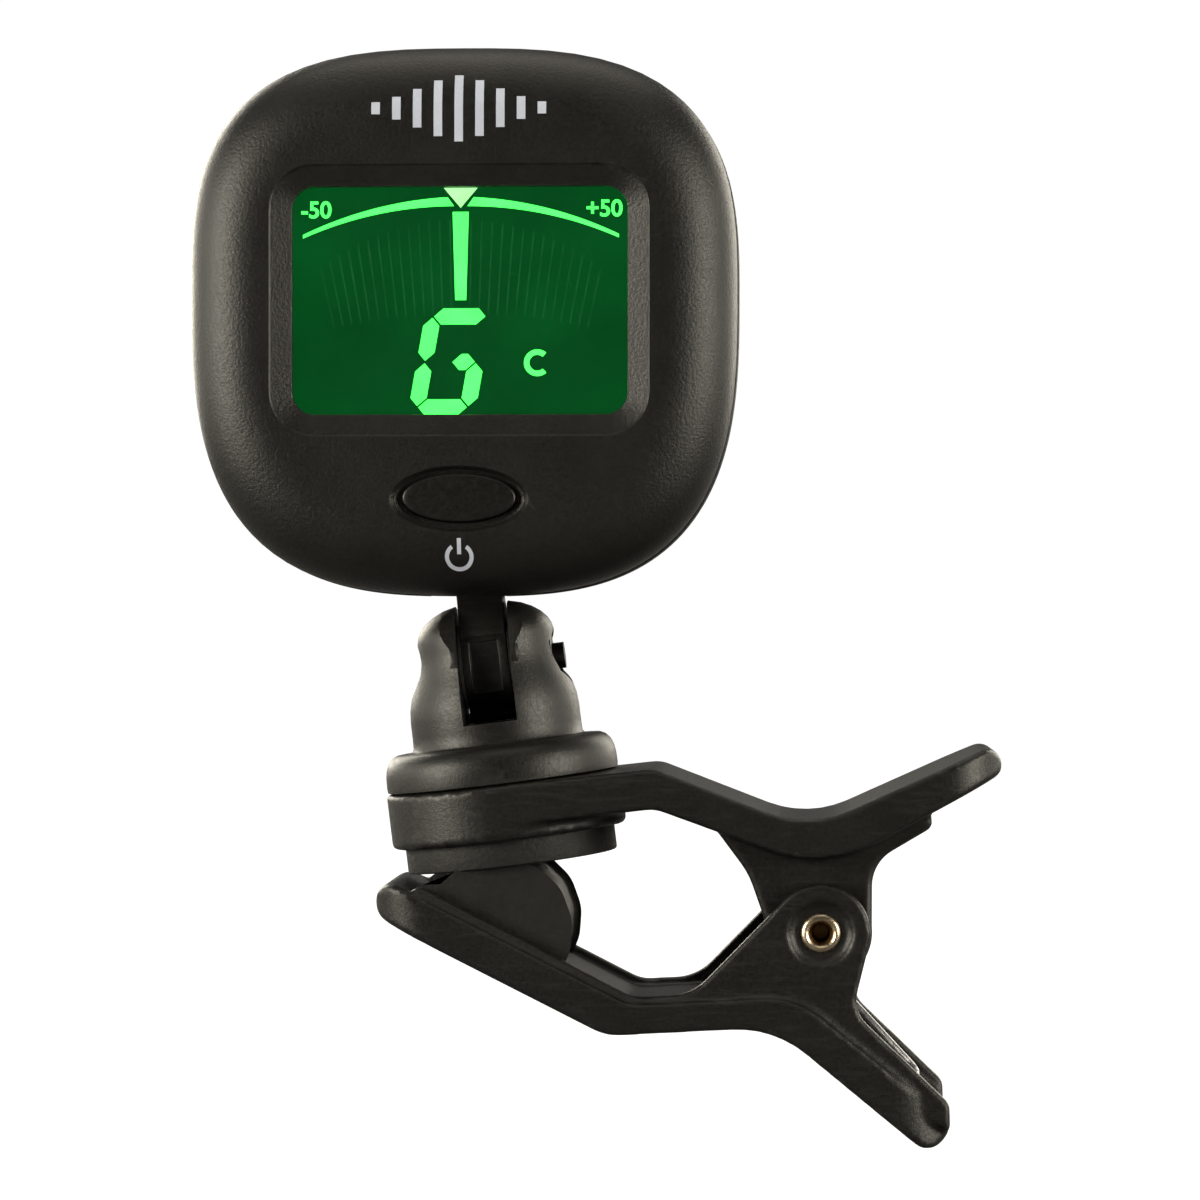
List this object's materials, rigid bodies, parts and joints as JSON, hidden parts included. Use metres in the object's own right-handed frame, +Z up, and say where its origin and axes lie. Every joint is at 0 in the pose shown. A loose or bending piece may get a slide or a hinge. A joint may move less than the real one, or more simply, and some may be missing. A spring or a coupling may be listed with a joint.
{
  "type": "clip on tuner",
  "caption": "Clip on instrument tuner: a squared round head with a lit display and a power button, on a neck and yoke that tilt and turn on a sprung clip.",
  "frame": {"origin": "centre of the upper jaw pad's clamping face", "axes": "+X to the right of the display, +Y from the display to the back, +Z up along the head"},
  "size_m": [0.0612, 0.019, 0.0826],
  "materials": {
    "arm_plastic": "fine matt texture",
    "yoke_plastic": "fine matt texture",
    "shell_plastic": "fine matt texture",
    "jaw_rubber": "matt",
    "button_rubber": "satin",
    "pivot_brass": "polished",
    "spring_steel": "bright wire",
    "screw_steel": "zinc plated",
    "washer_plastic": "slippery white",
    "lens_plastic": "clear",
    "lcd_glass": "lit green",
    "guide_plastic": "milky",
    "lamp_plastic": "clear",
    "strip_rubber": "matt",
    "board": "satin solder mask",
    "chip_plastic": "matt",
    "tin": "bright",
    "board_part": "satin",
    "switch_plastic": "matt",
    "sensor_brass": "satin",
    "sensor_ceramic": "satin",
    "cell_steel": "bright",
    "contact_metal": "bright"
  },
  "bodies": {
    "clip_upper": {"upper_arm": "arm_plastic", "upper_pad": "jaw_rubber", "pivot_rivet": "pivot_brass", "torsion_spring": "spring_steel"},
    "clip_lower": {"lower_arm": "arm_plastic", "lower_pad": "jaw_rubber"},
    "yoke": {"yoke": "yoke_plastic", "swivel_screw": "screw_steel", "swivel_washer": "screw_steel", "tilt_screw": "screw_steel", "tilt_nut": "screw_steel", "friction_washers": "washer_plastic"},
    "neck": {"neck": "arm_plastic"},
    "head": {"front_shell": "shell_plastic", "rear_shell": "shell_plastic", "housing_screws": "screw_steel", "display_lens": "lens_plastic", "lcd_panel": "lcd_glass", "backlight_guide": "guide_plastic", "backlight_leds": "lamp_plastic", "lcd_connectors": "strip_rubber", "circuit_board": "board", "controller_chip": "chip_plastic", "crystal": "tin", "board_parts": "board_part", "tact_switch": "switch_plastic", "sensor_plate": "sensor_brass", "sensor_ceramic": "sensor_ceramic", "coin_cell": "cell_steel", "positive_contact": "contact_metal", "negative_contact": "contact_metal", "roll_screw": "screw_steel", "roll_washer": "screw_steel"},
    "button": {"power_button": "button_rubber", "switch_plunger": "washer_plastic"},
    "battery_cap": {"battery_cap": "shell_plastic"}
  },
  "joints": [
    {"name": "jaw_hinge", "type": "hinge", "parent": "clip_upper", "child": "clip_lower", "pos_m": [0.02352, 0, -0.00487], "axis": [0, -1, 0], "range_deg": [0, 35], "stiffness_Nm_per_rad": 0.12, "springref_deg": -57.3, "deforming": ["torsion_spring"]},
    {"name": "yoke_swivel", "type": "hinge", "parent": "clip_upper", "child": "yoke", "pos_m": [-0.00075, 0, 0.0061], "axis": [-0.1219, 0, 0.9925], "continuous": true},
    {"name": "neck_tilt", "type": "hinge", "parent": "yoke", "child": "neck", "pos_m": [-0.00185, 0, 0.01509], "axis": [0.9925, 0, 0.1219], "range_deg": [-60, 45]},
    {"name": "head_roll", "type": "hinge", "parent": "neck", "child": "head", "pos_m": [-0.0034, 0, 0.02769], "axis": [0, -1, 0], "range_deg": [0, 14]},
    {"name": "button_press", "type": "slide", "parent": "head", "child": "button", "axis": [0, 1, 0], "range_m": [0, 0.0004], "stiffness_N_per_m": 1000, "springref_m": -0.0008},
    {"name": "cap_turn", "type": "hinge", "parent": "head", "child": "battery_cap", "pos_m": [-0.0034, 0.0043, 0.0436], "axis": [0, 1, 0], "range_deg": [0, 60]}
  ]
}
